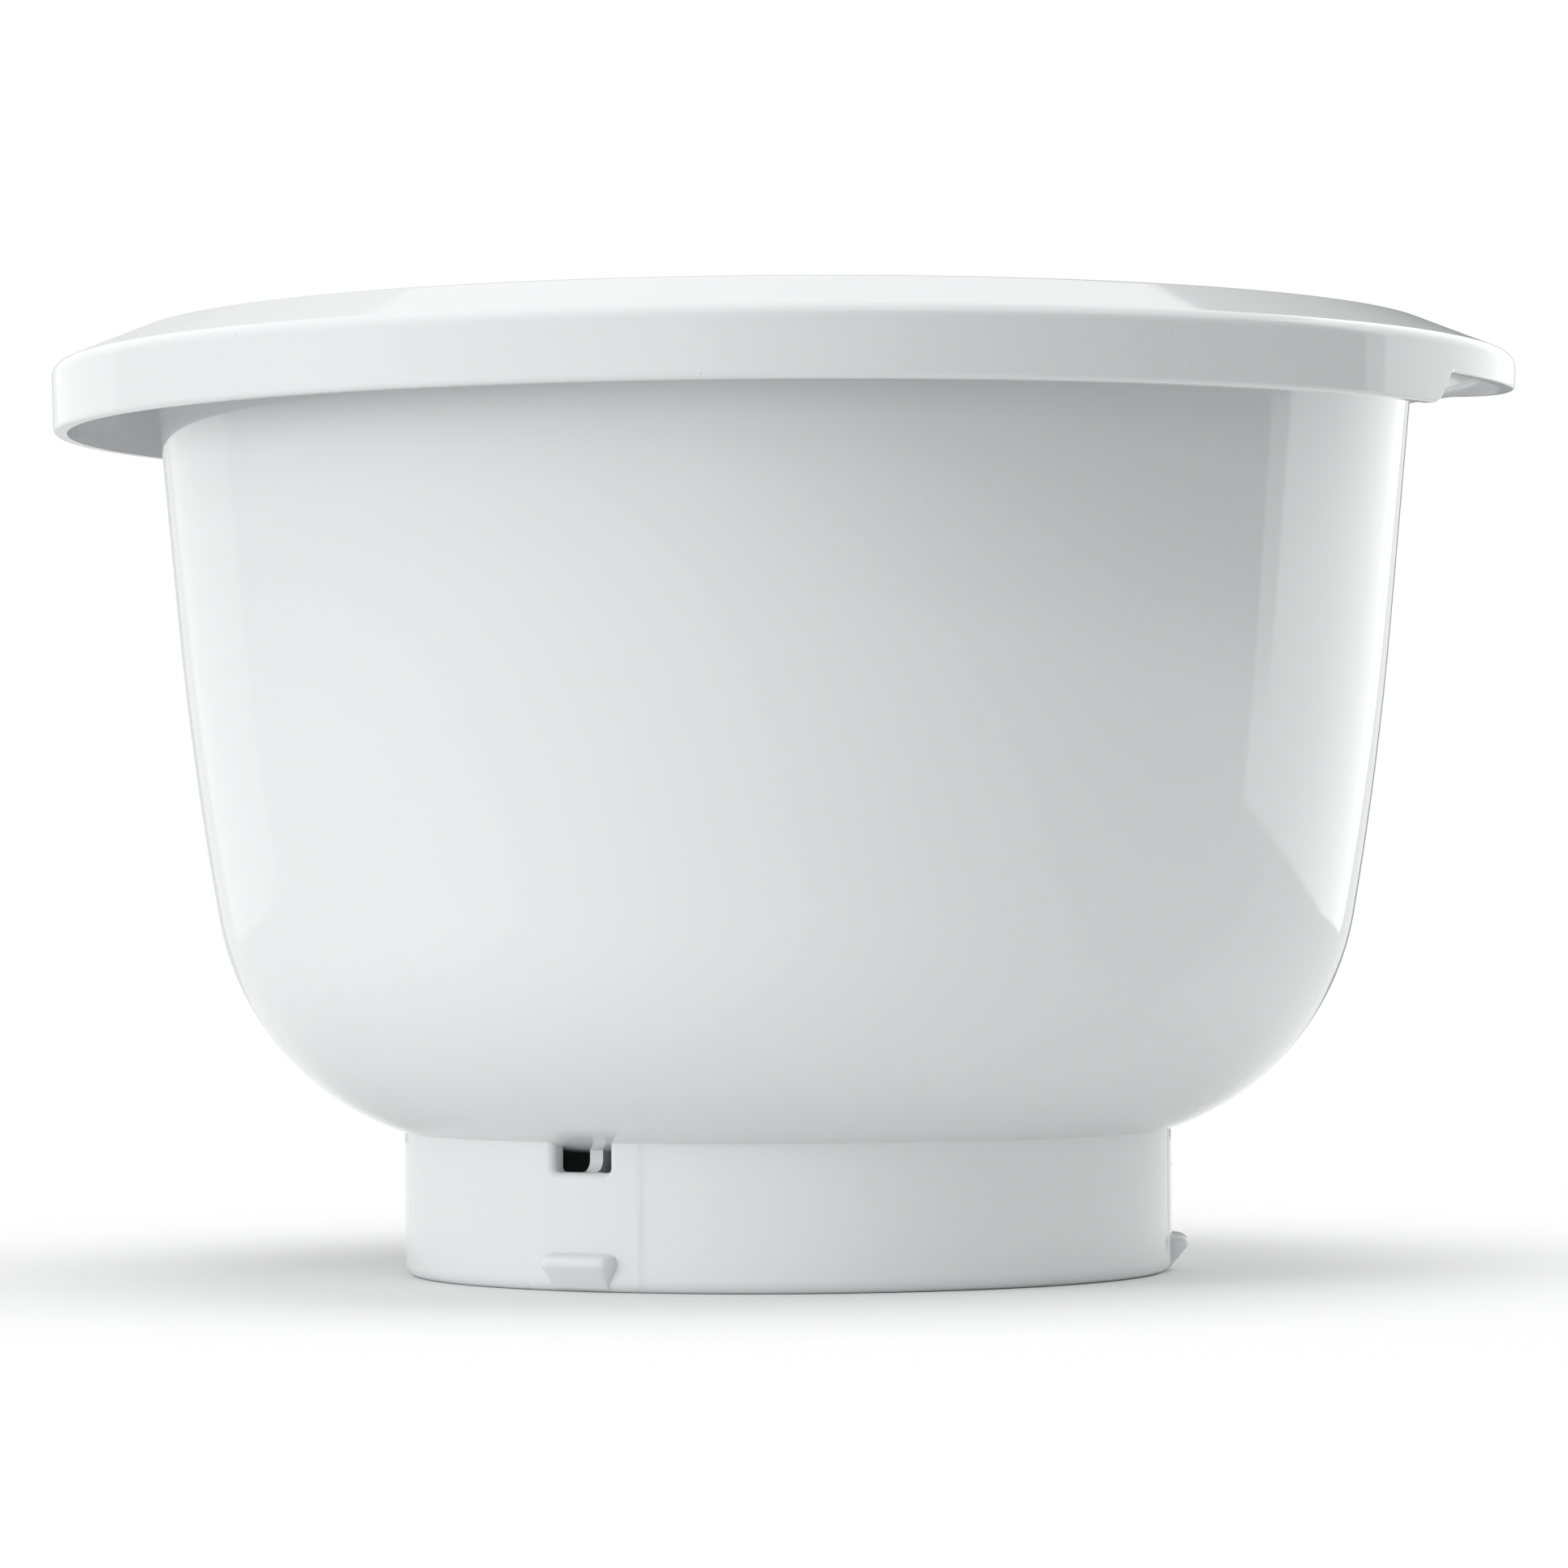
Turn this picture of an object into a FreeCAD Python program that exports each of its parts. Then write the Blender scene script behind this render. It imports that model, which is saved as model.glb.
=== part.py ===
"""Mixing bowl of a compact stand mixer, moulded in one piece.

Millimetres. The bowl's axis is Z, the foot stands on z = 0 and +Z is up.
Angles round the axis start at the front (-Y) and grow towards +X.
"""
import FreeCAD, Part
import math
import os

from FreeCAD import Vector

# Whole bowl
overall_height = 160.6
mouth_radius = 105.7
rim_overhang = 19.3
wall = 2.2

# Side of the bowl on its outside: taper, belly and bend into the underside
wall_taper = 5.3
belly_radius = 610.0
belly_taper = 10.0
bottom_radius = 47.0
underside_height = 21.9

# Rim: rounded crest, sloping flange and hanging skirt
crest_radius = 3.6
flange_slope = 21.9
flange_wall = 2.3
skirt_height = 11.1
skirt_draft = 1.5
rim_corner_radius = 2.3
skirt_edge_radius = 0.8
channel_corner_radius = 1.0
channel_root_radius = 2.0

# Cut-out in the skirt, where the bowl turns past the column of the mixer
cutout_angle = 112.0
cutout_half_angle = 53.55
cutout_step_height = 5.3
cutout_step_angle = 2.15
cutout_corner_radius = 2.8
cutout_crown_half_width = 8.3
cutout_crown_height = 9.2
cutout_sweep_sag = 0.7

# Foot ring
foot_radius = 65.6
foot_wall = 3.2
foot_edge_radius = 2.2
foot_inner_edge_radius = 0.4

# Bayonet lugs on the foot
lug_count = 3
first_lug_angle = -31.25
lug_reach = 2.8
lug_half_length = 7.0
lug_end_reach = 2.0
lug_top_height = 6.4
lug_top_fall = 10.0
lug_nose_radius = 1.3
lug_underside_angle = 40.0
lug_root_height = 0.6
lug_root_depth = 0.8

# Window above each lug, and the rib that stands behind it
window_width = 10.8
window_sill_height = 19.45
window_corner_radius = 0.8
window_edge_radius = 1.5
rib_thickness = 2.5
rib_setback = 2.0
rib_length = 13.0
rib_drop = 9.0

rim_radius = mouth_radius + rim_overhang

axis_foot = Vector(0, 0, 0)
axis = Vector(0, 0, 1)
level = Vector(1, 0, 0)


def point(radius, height):
    """Point of a section, in the plane through the axis."""
    return Vector(radius, 0, height)


def heading(degrees):
    """Direction in a section, by its angle above the outward direction."""
    angle = math.radians(degrees)
    return Vector(math.cos(angle), 0, math.sin(angle))


def line(start, end):
    return Part.LineSegment(start, end).toShape()


def arc(centre, radius, first, last):
    """Arc of a section from one heading to another."""
    spots = [centre + heading(angle) * radius for angle in (first, (first + last) / 2, last)]
    return Part.Arc(*spots).toShape()


def crossing(start, direction, other, other_direction):
    """Point where two lines of a section meet."""
    across = direction.x * other_direction.z - direction.z * other_direction.x
    gap = other - start
    along = (gap.x * other_direction.z - gap.z * other_direction.x) / across
    return start + direction * along


def closed_face(edges):
    return Part.Face(Part.Wire(Part.__sortEdges__(edges)))


def outline_face(corners):
    """Flat face with straight sides between its corners."""
    return Part.Face(Part.makePolygon(corners + corners[:1]))


def turned_to(shape, angle):
    """Copy of a shape drawn towards +X, turned to an angle from the front."""
    copy = shape.copy()
    copy.rotate(axis_foot, axis, angle - 90)
    return copy


def lug_angles():
    return [first_lug_angle + index * 360 / lug_count for index in range(lug_count)]


# Points of the section that the wall, the rim and the foot share
crest_centre = point(mouth_radius + crest_radius, overall_height - crest_radius)
mouth_edge = crest_centre + heading(180 - wall_taper) * crest_radius
through_wall = heading(-wall_taper) * wall
down_wall = heading(-90 - wall_taper)
belly_rise = math.sin(math.radians(belly_taper)) - math.sin(math.radians(wall_taper))
bend_rise = 1 - math.sin(math.radians(belly_taper))
belly_height = underside_height + bottom_radius * bend_rise + belly_radius * belly_rise
belly_start = crossing(mouth_edge + through_wall, down_wall, point(0, belly_height), level)
belly_centre = belly_start - heading(-wall_taper) * belly_radius
bottom_centre = belly_centre + heading(-belly_taper) * (belly_radius - bottom_radius)

# Lines of the rim's outside, and where flange and skirt would meet in a sharp corner
down_flange = heading(-flange_slope)
down_skirt = heading(-90 - skirt_draft)
crest_end = crest_centre + heading(90 - flange_slope) * crest_radius
rim_corner = crossing(crest_end, down_flange, point(rim_radius, 0), axis)
skirt_foot_height = rim_corner.z - skirt_height


def bottom_height(radius, depth):
    """Height of the underside's bend at a radius, at a depth into its wall."""
    reach = max(radius - bottom_centre.x, 0)
    return bottom_centre.z - math.sqrt((bottom_radius - depth) ** 2 - reach ** 2)


def side_edges(depth):
    """Bend and belly of the wall at a depth from its outside."""
    return [arc(bottom_centre, bottom_radius - depth, -90, -belly_taper),
            arc(belly_centre, belly_radius - depth, -belly_taper, -wall_taper)]


def rim_edges():
    """Section of the rim, from inside the mouth round to the outside wall."""
    into_flange = heading(-90 - flange_slope)
    into_skirt = heading(180 - skirt_draft)

    corner_centre = crossing(rim_corner + into_flange * rim_corner_radius, down_flange,
                             rim_corner + into_skirt * rim_corner_radius, down_skirt)
    flange_end = corner_centre + heading(90 - flange_slope) * rim_corner_radius
    skirt_top = corner_centre + heading(-skirt_draft) * rim_corner_radius

    sill = point(0, skirt_foot_height)
    skirt_foot = crossing(rim_corner, down_skirt, sill, level)
    inner_foot = crossing(rim_corner + into_skirt * flange_wall, down_skirt, sill, level)

    channel = crossing(inner_foot, down_skirt, crest_end + into_flange * flange_wall, down_flange)
    channel_centre = crossing(channel + into_skirt * channel_corner_radius, down_skirt,
                              channel + into_flange * channel_corner_radius, down_flange)
    root = crossing(channel, down_flange, belly_start, down_wall)
    root_centre = crossing(root + into_flange * channel_root_radius, down_flange,
                           root + through_wall * (channel_root_radius / wall), down_wall)
    channel_end = channel_centre + heading(-skirt_draft) * channel_corner_radius
    channel_top = channel_centre + heading(90 - flange_slope) * channel_corner_radius
    root_top = root_centre + heading(90 - flange_slope) * channel_root_radius
    root_end = root_centre + heading(180 - wall_taper) * channel_root_radius

    return [arc(crest_centre, crest_radius, 180 - wall_taper, 90 - flange_slope),
            line(crest_end, flange_end),
            arc(corner_centre, rim_corner_radius, 90 - flange_slope, -skirt_draft),
            line(skirt_top, skirt_foot),
            line(skirt_foot, inner_foot),
            line(inner_foot, channel_end),
            arc(channel_centre, channel_corner_radius, -skirt_draft, 90 - flange_slope),
            line(channel_top, root_top),
            arc(root_centre, channel_root_radius, 90 - flange_slope, 180 - wall_taper),
            line(root_end, belly_start)]


def bowl_shell():
    """Wall, floor and rim, turned in one section round the axis."""
    floor_height = underside_height + wall
    floor_edge = point(bottom_centre.x, floor_height)
    underside_edge = point(bottom_centre.x, underside_height)
    edges = side_edges(wall) + side_edges(0) + rim_edges()
    edges += [line(belly_start - through_wall, mouth_edge),
              line(point(0, floor_height), floor_edge),
              line(point(0, underside_height), underside_edge),
              line(point(0, underside_height), point(0, floor_height))]
    return closed_face(edges).revolve(axis_foot, axis, 360)


def edges_through(prism, spots):
    """Edges of a prism along X that stand on given spots of its outline."""
    found = []
    for edge in prism.Edges:
        middle = edge.CenterOfMass
        gaps = [math.hypot(middle.y - spot.y, middle.z - spot.z) for spot in spots]
        if min(gaps) < 0.01:
            found.append(edge)
    return found


def cutout_end(side):
    """One end of the cut-out: the step up from the skirt's foot, cut square through the skirt."""
    run = rim_radius * math.sin(math.radians(cutout_step_angle))
    foot = Vector(0, 0, skirt_foot_height)
    top = foot + Vector(0, -side * run, cutout_step_height)
    outer = foot + Vector(0, side * 4 * cutout_corner_radius, 0)
    inner = top - Vector(0, side * 6 * cutout_corner_radius, 0)
    below = skirt_foot_height - skirt_height
    corners = [outer, foot, top, inner, Vector(0, inner.y, below), Vector(0, outer.y, below)]
    prism = outline_face(corners).extrude(level * (2 * rim_radius))
    prism = prism.makeFillet(cutout_corner_radius, edges_through(prism, [foot, top]))
    return turned_to(prism, cutout_angle + side * cutout_half_angle)


def cutout_sweep():
    """Middle of the cut-out, seen square to it: a long sweep from each step up to the crown."""
    step_half = rim_radius * math.sin(math.radians(cutout_half_angle - cutout_step_angle))
    start_half = step_half - 2.5 * cutout_corner_radius
    middle_half = (start_half + cutout_crown_half_width) / 2
    middle_height = (cutout_step_height + cutout_crown_height) / 2 - cutout_sweep_sag
    outline = [(start_half, cutout_step_height), (middle_half, middle_height),
               (cutout_crown_half_width, cutout_crown_height)]
    left, right = [[Vector(0, side * half, skirt_foot_height + height) for half, height in outline]
                   for side in (-1, 1)]
    drop = Vector(0, 0, -cutout_step_height - skirt_height)
    edges = [Part.Arc(*left).toShape(), line(left[2], right[2]), Part.Arc(*right).toShape(),
             line(right[0], right[0] + drop), line(right[0] + drop, left[0] + drop),
             line(left[0] + drop, left[0])]
    prism = closed_face(edges).extrude(level * (2 * rim_radius))
    return turned_to(prism, cutout_angle)


def cutout_tool():
    """Solid that opens the cut-out, kept clear of the bowl's wall."""
    band = Part.makeCylinder(2 * rim_radius, overall_height)
    band = band.cut(Part.makeCylinder(rim_radius - 2 * flange_wall, overall_height))
    return cutout_sweep().fuse([cutout_end(-1), cutout_end(1)]).common(band)


def skirt_foot_edges(rim):
    """Edges that bound the skirt's outside below, round the cut-out too."""
    lean = math.tan(math.radians(skirt_draft))
    crown = skirt_foot_height + cutout_crown_height
    found = []
    for edge in rim.Edges:
        first, last = edge.ParameterRange
        spots = [edge.valueAt(first + (last - first) * part / 4) for part in range(5)]
        gaps = [abs(math.hypot(spot.x, spot.y) - rim_corner.x + (rim_corner.z - spot.z) * lean)
                for spot in spots]
        if max(gaps) < 0.01 and edge.BoundBox.ZMax < crown + 0.01:
            found.append(edge)
    return found


def foot_ring():
    """Foot ring with its windows; its top ends inside the wall of the bowl."""
    inner = foot_radius - foot_wall
    section = outline_face([point(inner, 0), point(foot_radius, 0),
                            point(foot_radius, bottom_height(foot_radius, wall / 2)),
                            point(inner, bottom_height(inner, wall / 2))])
    ring = section.revolve(axis_foot, axis, 360)
    for angle in lug_angles():
        ring = ring.cut(window_tool(angle))
    ring = ring.makeFillet(window_edge_radius, window_mouth_edges(ring))
    ring = ring.makeFillet(foot_edge_radius, standing_edges(ring, foot_radius))
    return ring.makeFillet(foot_inner_edge_radius, standing_edges(ring, inner))


def standing_edges(ring, radius):
    """Circle of the ring on the table at a radius."""
    return [edge for edge in ring.Edges
            if edge.BoundBox.ZMax < 0.01 and abs(edge.BoundBox.XMax - radius) < 0.01]


def window_tool(angle):
    """Window through the foot ring, open at its top, with rounded lower corners."""
    half = window_width / 2
    tall = bottom_height(foot_radius, 0) - window_sill_height + foot_wall
    block = Part.makeBox(2 * foot_wall, window_width, tall,
                         Vector(foot_radius - 1.5 * foot_wall, -half, window_sill_height))
    spots = [Vector(0, -half, window_sill_height), Vector(0, half, window_sill_height)]
    return turned_to(block.makeFillet(window_corner_radius, edges_through(block, spots)), angle)


def window_mouth_edges(ring):
    """Outer edges of the windows: cheeks, lower corners and sill."""
    found = []
    for edge in ring.Edges:
        first, last = edge.ParameterRange
        middle = edge.valueAt((first + last) / 2)
        outside = abs(math.hypot(middle.x, middle.y) - foot_radius) < 0.01
        small = edge.BoundBox.DiagonalLength < 1.1 * window_width
        on_top = edge.BoundBox.ZMin > bottom_height(foot_radius, wall / 2) - 0.01
        if outside and small and not on_top and middle.z > window_sill_height - 0.01:
            found.append(edge)
    return found


def lug_section():
    """Section of a lug: falling top, round nose and steep underside."""
    surface = foot_radius
    fall = math.radians(lug_top_fall)
    nose_reach = lug_reach - lug_nose_radius
    nose = point(surface + nose_reach, lug_top_height - nose_reach * math.tan(fall)
                 - lug_nose_radius / math.cos(fall))
    top_end = nose + heading(90 - lug_top_fall) * lug_nose_radius
    under_start = nose + heading(-lug_underside_angle) * lug_nose_radius
    under_end = crossing(under_start, heading(-90 - lug_underside_angle),
                         point(0, lug_root_height), level)
    root = surface - lug_root_depth
    root_top = crossing(top_end, heading(-lug_top_fall), point(root, 0), axis)
    root_foot = point(root, lug_root_height)
    return closed_face([line(root_top, top_end),
                        arc(nose, lug_nose_radius, 90 - lug_top_fall, -lug_underside_angle),
                        line(under_start, under_end),
                        line(under_end, root_foot),
                        line(root_foot, root_top)])


def lug(angle):
    """Bayonet lug: a ridge along the foot with rounded ends, which are steeper than its nose."""
    root = foot_radius - lug_root_depth
    half_angle = math.degrees(math.asin((lug_half_length - lug_end_reach) / root))
    section = lug_section()
    start = section.copy()
    start.rotate(axis_foot, axis, -half_angle)
    ridge = start.revolve(axis_foot, axis, 2 * half_angle)
    narrowing = FreeCAD.Matrix()
    narrowing.scale(1, lug_end_reach / (lug_reach + lug_root_depth), 1)
    for side in (-half_angle, half_angle):
        cap = section.revolve(point(root, 0), axis, math.copysign(90, side))
        cap = cap.transformGeometry(narrowing)
        cap.rotate(axis_foot, axis, side)
        ridge = ridge.fuse(cap)
    return turned_to(ridge, angle)


def window_rib(angle):
    """Rib under the floor behind a window, joined to the ring below the sill."""
    inner = foot_radius - foot_wall
    seat = inner + foot_wall / 2
    front = inner - rib_setback
    tail = inner - rib_length
    sill = window_sill_height
    bend_centre = point(inner, sill + rib_setback)
    bend_low = point(inner, sill)
    corners = [bend_low, point(seat, sill), point(seat, sill - rib_drop),
               point(inner, sill - rib_drop), point(tail, underside_height - wall),
               point(tail, bottom_height(tail, wall / 2)),
               point(front, bottom_height(front, wall / 2)), point(front, bend_centre.z)]
    edges = [line(start, end) for start, end in zip(corners, corners[1:])]
    edges.append(arc(bend_centre, rib_setback, 180, 270))
    plate = closed_face(edges).extrude(Vector(0, rib_thickness, 0))
    plate.translate(Vector(0, -rib_thickness / 2, 0))
    return turned_to(plate, angle)


def mixing_bowl():
    bowl = bowl_shell().cut(cutout_tool())
    bowl = bowl.makeFillet(skirt_edge_radius, skirt_foot_edges(bowl))
    bowl = bowl.fuse([foot_ring()] + [window_rib(angle) for angle in lug_angles()])
    bowl = bowl.fuse([lug(angle) for angle in lug_angles()])
    return bowl.removeSplitter()


os.makedirs("parts", exist_ok=True)
mixing_bowl().exportStep("parts/mixing_bowl.step")
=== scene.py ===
import math

import bmesh
import bpy
from mathutils import Matrix, Vector


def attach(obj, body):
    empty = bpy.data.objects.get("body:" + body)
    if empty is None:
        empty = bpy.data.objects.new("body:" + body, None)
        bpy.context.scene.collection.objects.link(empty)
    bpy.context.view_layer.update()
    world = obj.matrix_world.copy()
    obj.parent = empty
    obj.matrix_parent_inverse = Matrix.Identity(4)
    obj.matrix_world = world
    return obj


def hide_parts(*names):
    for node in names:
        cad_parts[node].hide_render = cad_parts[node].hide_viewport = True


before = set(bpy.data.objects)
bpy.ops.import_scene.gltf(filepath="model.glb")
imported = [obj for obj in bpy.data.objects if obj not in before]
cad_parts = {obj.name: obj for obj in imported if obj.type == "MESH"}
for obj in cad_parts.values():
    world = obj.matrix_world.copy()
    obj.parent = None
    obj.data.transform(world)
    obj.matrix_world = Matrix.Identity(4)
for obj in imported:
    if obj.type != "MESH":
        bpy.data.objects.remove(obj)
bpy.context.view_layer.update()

# The bowl's wall, floor, rim and foot ring are one injection moulding in white plastic, round its
# own axis, which stands on the world's Z. Its section is drawn at +X as a wire, from the middle of
# the underside round the foot and the rim to the middle of the floor.
mm = 0.001
overall_height = 160.6 * mm
rim_radius = 125.0 * mm
mouth_radius = 105.7 * mm
wall = 2.2 * mm
wall_taper = 5.3
belly_radius = 610 * mm
belly_taper = 10.0
bottom_radius = 47 * mm
underside_height = 21.9 * mm
crest_radius = 3.6 * mm
flange_slope = 21.9
flange_wall = 2.3 * mm
skirt_height = 11.1 * mm
skirt_draft = 1.5
rim_corner_radius = 2.3 * mm
skirt_edge_radius = 0.8 * mm
channel_corner_radius = 1.0 * mm
channel_root_radius = 2.0 * mm
foot_radius = 65.6 * mm
foot_wall = 3.2 * mm
foot_edge_radius = 2.2 * mm
foot_inner_edge_radius = 0.4 * mm
window_sill_height = 19.45 * mm
window_corner_radius = 0.8 * mm
window_edge_radius = 1.5 * mm
shading_margin = 0.25 * mm


def point(radius, height):
    """Place on the section."""
    return Vector((radius, 0, height))


def heading(degrees):
    """Direction on the section, by its angle above the outward direction."""
    return Vector((math.cos(math.radians(degrees)), 0, math.sin(math.radians(degrees))))


def crossing(start, along, other, other_along):
    """Place where two lines of the section meet."""
    gap = other - start
    across = along.x * other_along.z - along.z * other_along.x
    return start + along * ((gap.x * other_along.z - gap.z * other_along.x) / across)


def start_outline(place):
    """Opens a new mesh that holds only the first point of an outline."""
    bpy.ops.object.select_all(action="DESELECT")
    bpy.ops.mesh.primitive_plane_add(size=wall, location=place)
    bpy.ops.object.transform_apply()
    bpy.ops.object.mode_set(mode="EDIT")
    bpy.ops.mesh.merge(type="CENTER")
    return bpy.context.object


def draw_through(*stops):
    """Extrudes the open end of the section from each place to the next."""
    for here, there in zip(stops, stops[1:]):
        bpy.ops.mesh.extrude_vertices_move(TRANSFORM_OT_translate={"value": there - here})


def draw_line(start, end):
    """Straight stretch of the section, with a row close to each end that keeps its shading flat."""
    along = (end - start).normalized() * shading_margin
    draw_through(start, start + along, end - along, end)


def draw_arc(centre, first, last, steps):
    """Spins the open end of the section round a centre, from one heading to another."""
    bpy.ops.mesh.spin(steps=steps, angle=math.radians(last - first), center=centre, axis=(0, 1, 0))


up, outward = heading(90), heading(0)
down_wall = heading(-90 - wall_taper)
down_flange, into_flange = heading(-flange_slope), heading(-90 - flange_slope)
down_skirt, into_skirt = heading(-90 - skirt_draft), heading(180 - skirt_draft)
through_wall = heading(-wall_taper) * wall

crest_centre = point(mouth_radius + crest_radius, overall_height - crest_radius)
mouth_edge = crest_centre + heading(180 - wall_taper) * crest_radius
belly_rise = math.sin(math.radians(belly_taper)) - math.sin(math.radians(wall_taper))
bend_rise = 1 - math.sin(math.radians(belly_taper))
belly_height = underside_height + bottom_radius * bend_rise + belly_radius * belly_rise
belly_start = crossing(mouth_edge + through_wall, down_wall, point(0, belly_height), outward)
belly_centre = belly_start - heading(-wall_taper) * belly_radius
bottom_centre = belly_centre + heading(-belly_taper) * (belly_radius - bottom_radius)

crest_end = crest_centre + heading(90 - flange_slope) * crest_radius
rim_corner = crossing(crest_end, down_flange, point(rim_radius, 0), up)
corner_centre = crossing(rim_corner + into_flange * rim_corner_radius, down_flange,
                         rim_corner + into_skirt * rim_corner_radius, down_skirt)
skirt_top = corner_centre + heading(-skirt_draft) * rim_corner_radius
skirt_foot = crossing(rim_corner, down_skirt, point(0, rim_corner.z - skirt_height), outward)
inner_foot = crossing(rim_corner + into_skirt * flange_wall, down_skirt, skirt_foot, outward)
edge_centre = crossing(skirt_foot + into_skirt * skirt_edge_radius, down_skirt,
                       skirt_foot + up * skirt_edge_radius, outward)
channel = crossing(inner_foot, down_skirt, crest_end + into_flange * flange_wall, down_flange)
channel_centre = crossing(channel + into_skirt * channel_corner_radius, down_skirt,
                          channel + into_flange * channel_corner_radius, down_flange)
channel_end = channel_centre + heading(-skirt_draft) * channel_corner_radius
root = crossing(channel, down_flange, belly_start, down_wall)
root_centre = crossing(root + into_flange * channel_root_radius, down_flange,
                       root + through_wall * (channel_root_radius / wall), down_wall)


def bend_heading(radius):
    """Heading of the underside's bend where it reaches a radius."""
    return -math.degrees(math.acos((radius - bottom_centre.x) / bottom_radius))


foot_inner = foot_radius - foot_wall
joint_inside = bottom_centre + heading(bend_heading(foot_inner)) * bottom_radius
joint_outside = bottom_centre + heading(bend_heading(foot_radius)) * bottom_radius

bowl = start_outline(point(0, underside_height))
bowl.name = bowl.data.name = "bowl"
underside_edge = bottom_centre - up * bottom_radius
draw_through(point(0, underside_height), underside_edge - outward * shading_margin, underside_edge)
draw_arc(bottom_centre, -90, bend_heading(foot_inner), steps=8)
draw_through(joint_inside, point(foot_inner, window_sill_height))
draw_line(point(foot_inner, window_sill_height), point(foot_inner, foot_inner_edge_radius))
draw_arc(point(foot_inner + foot_inner_edge_radius, foot_inner_edge_radius), 180, 270, steps=3)
draw_line(point(foot_inner + foot_inner_edge_radius, 0), point(foot_radius - foot_edge_radius, 0))
draw_arc(point(foot_radius - foot_edge_radius, foot_edge_radius), -90, 0, steps=9)
below_window = point(foot_radius, window_sill_height - window_edge_radius - shading_margin)
draw_line(point(foot_radius, foot_edge_radius), below_window)
draw_through(below_window, point(foot_radius, window_sill_height), joint_outside)
draw_arc(bottom_centre, bend_heading(foot_radius), -belly_taper, steps=34)
draw_arc(belly_centre, -belly_taper, -wall_taper, steps=8)
draw_line(belly_start, root_centre + heading(180 - wall_taper) * channel_root_radius)
draw_arc(root_centre, 180 - wall_taper, 90 - flange_slope, steps=6)
draw_line(root_centre + heading(90 - flange_slope) * channel_root_radius,
          channel_centre + heading(90 - flange_slope) * channel_corner_radius)
draw_arc(channel_centre, 90 - flange_slope, -skirt_draft, steps=4)
draw_through(channel_end, inner_foot)
draw_line(inner_foot, edge_centre - up * skirt_edge_radius)
draw_arc(edge_centre, -90, -skirt_draft, steps=6)
draw_line(edge_centre + heading(-skirt_draft) * skirt_edge_radius, skirt_top)
draw_arc(corner_centre, -skirt_draft, 90 - flange_slope, steps=9)
draw_line(corner_centre + heading(90 - flange_slope) * rim_corner_radius, crest_end)
draw_arc(crest_centre, 90 - flange_slope, 180 - wall_taper, steps=14)
draw_line(mouth_edge, belly_start - through_wall)
draw_arc(belly_centre, -wall_taper, -belly_taper, steps=6)
draw_arc(bottom_centre, -belly_taper, -90, steps=26)
floor_edge = underside_edge + up * wall
draw_through(floor_edge, floor_edge - outward * shading_margin, point(0, underside_height + wall))

# The section is spun round the axis column by column. In the cut-out of the skirt, where the bowl
# turns past the mixer's column, the skirt's lower edge is lifted at each column: a step at either
# end, and a long sweep up to a crown.
cutout_angle = 112.0
cutout_half_angle = 53.55
cutout_step_height = 5.3 * mm
cutout_step_angle = 2.15
cutout_corner_radius = 2.8 * mm
cutout_crown_half_width = 8.3 * mm
cutout_crown_gap = 0.1 * mm
cutout_crown_height = channel_end.z - skirt_foot.z - cutout_crown_gap
cutout_sweep_sag = 0.7 * mm
cutout_sweep_setback = 2.5 * cutout_corner_radius
cutout_reach = 54.8
fine_reach = 4.2
column_step = 1.0
fine_column_step = 0.15
lug_angles = (-31.25, 88.75, 208.75)
window_width = 10.8 * mm
window_clear_share = 1.1
slider_half_angle = 9.91
slider_line_angle = 0.08
weld_distance = 0.0005 * mm

step_run = rim_radius * math.sin(math.radians(cutout_step_angle))
step_lean = math.atan2(cutout_step_height, step_run)
corner_run = cutout_corner_radius * math.tan(step_lean / 2)
sweep_start = (rim_radius * math.sin(math.radians(cutout_half_angle - cutout_step_angle))
               - cutout_sweep_setback)
window_half_angle = math.degrees(math.asin(window_width / 2 / foot_radius))
window_edge_angle = math.degrees(window_edge_radius / foot_radius)
window_clear_angle = window_half_angle + window_clear_share * window_edge_angle
skirt_lean = math.tan(math.radians(skirt_draft))
edge_height = skirt_edge_radius + shading_margin


def skirt_rise(angle):
    """Height of the skirt's lower edge above its foot, at an angle from the front."""
    turn = abs(angle - cutout_angle)
    inward = rim_radius * math.sin(math.radians(min(cutout_half_angle - turn, 90)))
    beside_foot = inward + corner_run
    beside_top = step_run + corner_run - inward
    if beside_foot < 0:
        return 0
    if beside_foot < cutout_corner_radius * math.sin(step_lean):
        return cutout_corner_radius - math.sqrt(cutout_corner_radius ** 2 - beside_foot ** 2)
    if beside_top > cutout_corner_radius * math.sin(step_lean):
        return inward * math.tan(step_lean)
    if beside_top > 0:
        return (cutout_step_height - cutout_corner_radius
                + math.sqrt(cutout_corner_radius ** 2 - beside_top ** 2))
    across = rim_radius * math.sin(math.radians(turn))
    share = min(max((sweep_start - across) / (sweep_start - cutout_crown_half_width), 0), 1)
    sweep = (cutout_crown_height - cutout_step_height) * share
    return cutout_step_height + sweep - 4 * cutout_sweep_sag * share * (1 - share)


def skirt_rounding(rise):
    """Share of the full edge rounding for which a lifted skirt still has room."""
    room = skirt_top.z - 2 * shading_margin - skirt_foot.z - rise
    return min(1, room / edge_height)


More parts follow.
